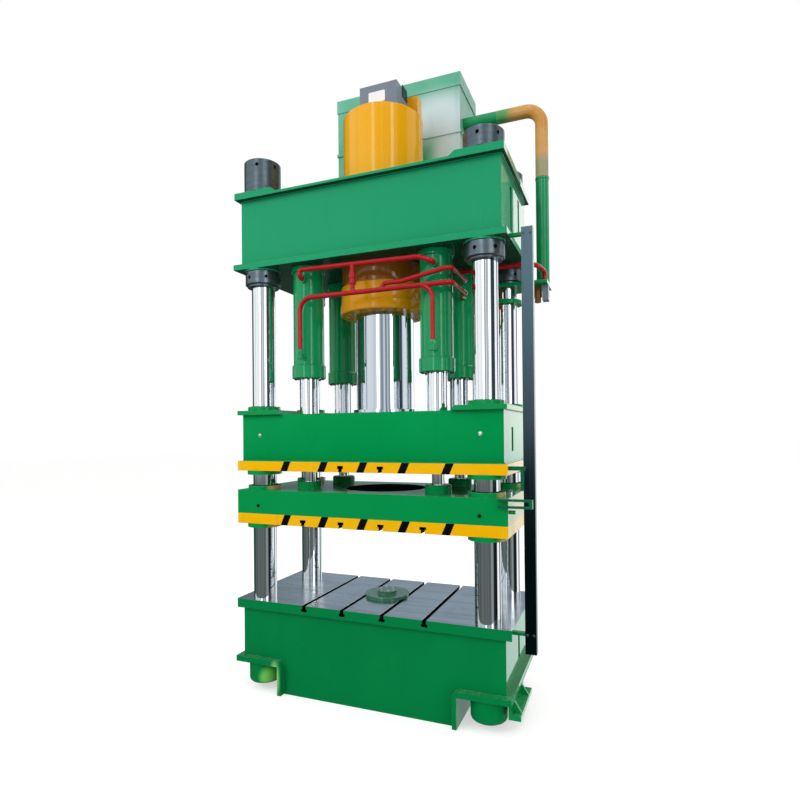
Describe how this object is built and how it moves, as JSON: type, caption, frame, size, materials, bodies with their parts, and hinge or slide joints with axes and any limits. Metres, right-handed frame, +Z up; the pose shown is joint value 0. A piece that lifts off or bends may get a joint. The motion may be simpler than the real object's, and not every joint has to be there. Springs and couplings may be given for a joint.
{
  "type": "hydraulic press",
  "caption": "Four-column double-action hydraulic press with two moving slides, a T-slotted bed, a crown with cylinders, oil tank and red oil pipes.",
  "frame": {"origin": "on the floor, at the middle of the bed's underside", "axes": "+Z up along the columns, -Y towards the operator at the front, +X to the operator's right"},
  "size_m": [2.186, 1.278, 4.676],
  "materials": {
    "green_paint": "glossy enamel, slight orange peel",
    "dark_green_paint": "glossy enamel",
    "pale_green_paint": "satin enamel",
    "yellow_paint": "glossy enamel",
    "warning_yellow": "glossy enamel with black slanted stripes on the front edge",
    "ochre_paint": "worn enamel",
    "red_paint": "glossy enamel",
    "grey_paint": "satin enamel",
    "dark_paint": "satin enamel",
    "chromed_steel": "ground and chromed, bright",
    "blackened_steel": "blackened, satin",
    "machined_steel": "machined, fine feed marks, satin"
  },
  "bodies": {
    "frame": {"bed_plate": "machined_steel", "bed_weldment": "green_paint", "centre_cover": "machined_steel", "column_clamp": "dark_green_paint", "column_front_left": "chromed_steel", "column_front_right": "chromed_steel", "column_rear_left": "chromed_steel", "column_rear_right": "chromed_steel", "cover_screws": "machined_steel", "crown_nut_front_left": "blackened_steel", "crown_nut_front_right": "blackened_steel", "crown_nut_rear_left": "blackened_steel", "crown_nut_rear_right": "blackened_steel", "crown_weldment": "green_paint", "feed_block": "grey_paint", "feed_fitting": "yellow_paint", "filling_block": "yellow_paint", "foot_nuts": "green_paint", "holder_barrel_front_left": "green_paint", "holder_barrel_front_right": "green_paint", "holder_barrel_rear_left": "green_paint", "holder_barrel_rear_right": "green_paint", "holder_gland_front_left": "green_paint", "holder_gland_front_right": "green_paint", "holder_gland_rear_left": "green_paint", "holder_gland_rear_right": "green_paint", "line_union": "red_paint", "lower_oil_line": "red_paint", "main_cylinder": "yellow_paint", "main_gland": "yellow_paint", "oil_tank": "pale_green_paint", "pipe_shelf": "green_paint", "rail_bars": "dark_paint", "rear_oil_line": "red_paint", "shoulder_nuts": "blackened_steel", "side_bracket": "green_paint", "switch_rail": "dark_paint", "tank_lid": "pale_green_paint", "tank_pedestal": "pale_green_paint", "tank_pipe_bend": "ochre_paint", "tank_pipe_drop": "green_paint", "tank_pipe_stub": "green_paint", "upper_oil_line": "red_paint", "valve_box": "grey_paint"},
    "lower_slide": {"lower_slide": "green_paint", "lower_slide_plate": "warning_yellow", "lower_guide_bushes": "green_paint", "lower_wiper_rings": "green_paint", "rod_flanges": "green_paint", "lower_switch_fork": "dark_paint", "holder_rod_front_left": "chromed_steel", "holder_rod_front_right": "chromed_steel", "holder_rod_rear_left": "chromed_steel", "holder_rod_rear_right": "chromed_steel"},
    "upper_slide": {"upper_slide": "green_paint", "upper_slide_plate": "warning_yellow", "upper_guide_bushes": "green_paint", "upper_wiper_rings": "green_paint", "ram": "chromed_steel", "upper_switch_arm": "dark_paint"}
  },
  "joints": [
    {"name": "lower_slide_travel", "type": "slide", "parent": "frame", "child": "lower_slide", "axis": [0, 0, 1], "range_m": [-0.5, 0.1]},
    {"name": "upper_slide_travel", "type": "slide", "parent": "lower_slide", "child": "upper_slide", "axis": [0, 0, 1], "range_m": [-0.075, 0.15]}
  ]
}
